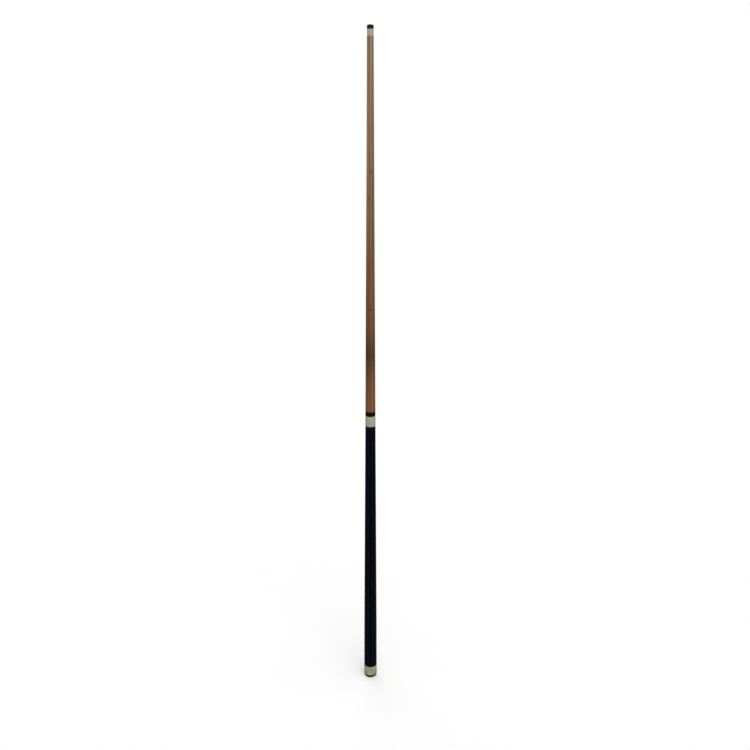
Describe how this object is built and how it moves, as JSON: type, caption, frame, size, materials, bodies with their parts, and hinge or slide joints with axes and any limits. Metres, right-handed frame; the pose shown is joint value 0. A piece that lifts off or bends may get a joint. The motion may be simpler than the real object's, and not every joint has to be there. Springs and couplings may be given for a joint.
{
  "type": "pool cue",
  "caption": "Two-piece pool cue with a maple shaft, a screw joint with black and ivory coloured collars, a navy lacquered butt and a rubber bumper.",
  "frame": {"origin": "centre of the bumper's underside, on which the cue stands in its rack", "axes": "+Z along the cue from bumper to tip; the cue is round, and -Y is the side the rack shows"},
  "size_m": [0.0294, 0.0294, 1.473],
  "materials": {
    "tip_leather": "matte",
    "black_fibre": "matte",
    "ivory_plastic": "gloss",
    "black_plastic": "gloss",
    "maple": "satin",
    "navy_lacquer": "gloss",
    "brass": "satin",
    "steel": "satin",
    "rubber": "matte"
  },
  "bodies": {
    "butt": {"joint_pin": "steel", "joint_collar": "ivory_plastic", "joint_ring": "black_plastic", "forearm": "navy_lacquer", "a_joint_screw": "steel", "handle": "navy_lacquer", "butt_sleeve": "navy_lacquer", "butt_cap": "ivory_plastic", "weight_bolt": "steel", "bumper": "rubber", "bumper_washer": "steel", "bumper_bolt": "steel"},
    "collar": {"shaft_collar": "black_plastic"},
    "shaft": {"leather_tip": "tip_leather", "tip_pad": "black_fibre", "ferrule": "ivory_plastic", "shaft_wood": "maple", "shaft_insert": "brass"}
  },
  "joints": [
    {"name": "shaft_lift", "type": "slide", "parent": "butt", "child": "collar", "axis": [0, 0, 1], "range_m": [0, 0.0254]},
    {"name": "shaft_turn", "type": "hinge", "parent": "collar", "child": "shaft", "pos_m": [0, 0, 0.676], "axis": [0, 0, 1], "range_deg": [0, 3601]}
  ],
  "couplings": [
    {"joint": "shaft_turn", "follows": "shaft_lift", "rad_per_m": 2473.7}
  ]
}
